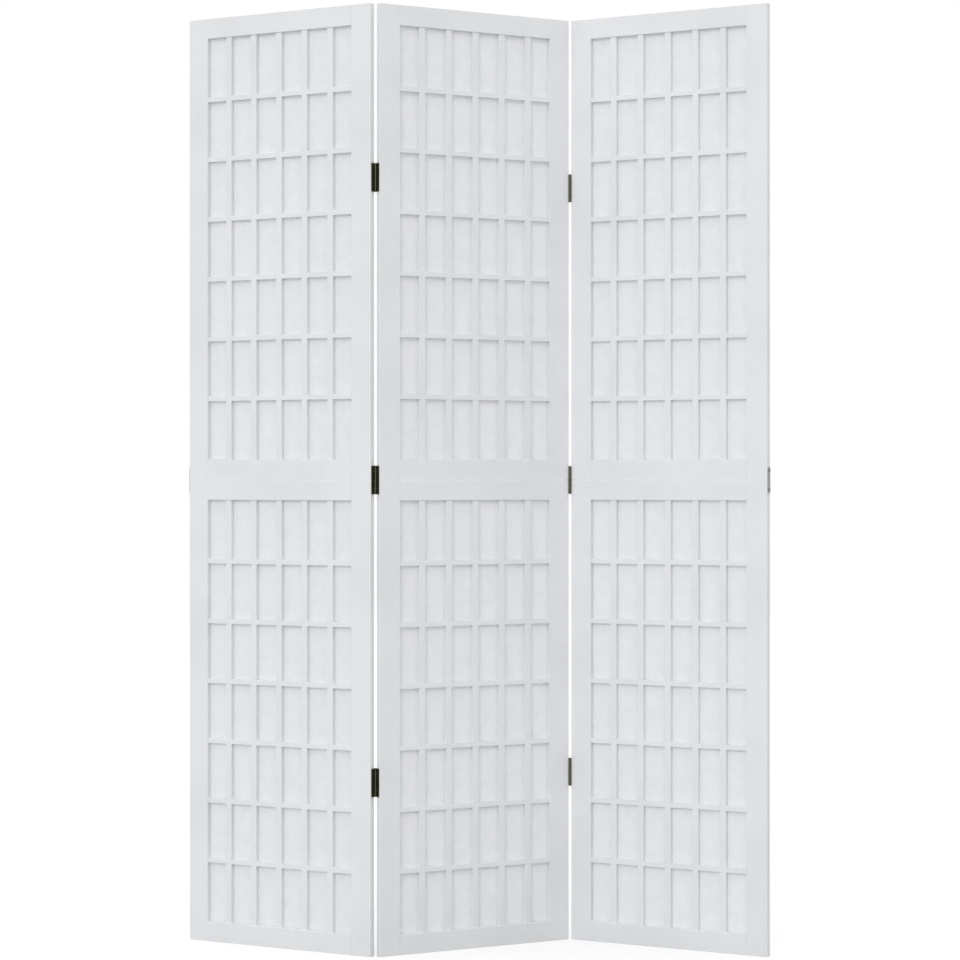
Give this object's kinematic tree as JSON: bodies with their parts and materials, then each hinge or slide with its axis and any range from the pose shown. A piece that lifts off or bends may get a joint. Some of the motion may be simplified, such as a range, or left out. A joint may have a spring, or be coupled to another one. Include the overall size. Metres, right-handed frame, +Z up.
{
  "type": "shoji folding screen",
  "caption": "Free-standing folding screen of hinged lattice panels with pale panes, each panel made of an upper and a lower half; it divides a room and folds flat.",
  "frame": {"origin": "on the floor, under the centre of the middle panel, which is the centre of the whole screen's footprint", "axes": "+Z up; the front of the screen faces -Y, +X to the right seen from the front, along the line of the zigzag"},
  "size_m": [1.0568, 0.2074, 1.7],
  "materials": {
    "painted_wood": "white satin paint on wood",
    "pane": "matt white non-woven pane",
    "hinge_bronze": "dark bronze coat on pressed steel",
    "plate_zinc": "zinc-plated steel"
  },
  "bodies": {
    "middle_panel": {"middle_lower_stile_left": "painted_wood", "middle_lower_stile_right": "painted_wood", "middle_lower_rail_top": "painted_wood", "middle_lower_rail_bottom": "painted_wood", "middle_lower_lattice": "painted_wood", "middle_lower_pane": "pane", "middle_upper_stile_left": "painted_wood", "middle_upper_stile_right": "painted_wood", "middle_upper_rail_top": "painted_wood", "middle_upper_rail_bottom": "painted_wood", "middle_upper_lattice": "painted_wood", "middle_upper_pane": "pane", "left_hinge_bottom_middle_leaf": "hinge_bronze", "left_hinge_bottom_pin": "hinge_bronze", "left_hinge_middle_middle_leaf": "hinge_bronze", "left_hinge_middle_pin": "hinge_bronze", "left_hinge_top_middle_leaf": "hinge_bronze", "left_hinge_top_pin": "hinge_bronze", "right_hinge_bottom_middle_leaf": "hinge_bronze", "right_hinge_bottom_pin": "hinge_bronze", "right_hinge_middle_middle_leaf": "hinge_bronze", "right_hinge_middle_pin": "hinge_bronze", "right_hinge_top_middle_leaf": "hinge_bronze", "right_hinge_top_pin": "hinge_bronze"},
    "left_panel": {"left_lower_stile_left": "painted_wood", "left_lower_stile_right": "painted_wood", "left_lower_rail_top": "painted_wood", "left_lower_rail_bottom": "painted_wood", "left_lower_lattice": "painted_wood", "left_lower_pane": "pane", "left_upper_stile_left": "painted_wood", "left_upper_stile_right": "painted_wood", "left_upper_rail_top": "painted_wood", "left_upper_rail_bottom": "painted_wood", "left_upper_lattice": "painted_wood", "left_upper_pane": "pane", "left_hinge_bottom_side_leaf": "hinge_bronze", "left_hinge_middle_side_leaf": "hinge_bronze", "left_hinge_top_side_leaf": "hinge_bronze", "left_edge_plate": "plate_zinc", "left_edge_screw_lower": "plate_zinc", "left_edge_screw_upper": "plate_zinc"},
    "right_panel": {"right_lower_stile_left": "painted_wood", "right_lower_stile_right": "painted_wood", "right_lower_rail_top": "painted_wood", "right_lower_rail_bottom": "painted_wood", "right_lower_lattice": "painted_wood", "right_lower_pane": "pane", "right_upper_stile_left": "painted_wood", "right_upper_stile_right": "painted_wood", "right_upper_rail_top": "painted_wood", "right_upper_rail_bottom": "painted_wood", "right_upper_lattice": "painted_wood", "right_upper_pane": "pane", "right_hinge_bottom_side_leaf": "hinge_bronze", "right_hinge_middle_side_leaf": "hinge_bronze", "right_hinge_top_side_leaf": "hinge_bronze", "right_edge_plate": "plate_zinc", "right_edge_screw_lower": "plate_zinc", "right_edge_screw_upper": "plate_zinc"}
  },
  "joints": [
    {"name": "left_fold", "type": "hinge", "parent": "middle_panel", "child": "left_panel", "pos_m": [-0.17661, -0.09291, 0.85], "axis": [0, 0, 1], "range_deg": [-120, 60]},
    {"name": "right_fold", "type": "hinge", "parent": "middle_panel", "child": "right_panel", "pos_m": [0.17661, 0.09291, 0.85], "axis": [0, 0, 1], "range_deg": [-120, 60]}
  ]
}
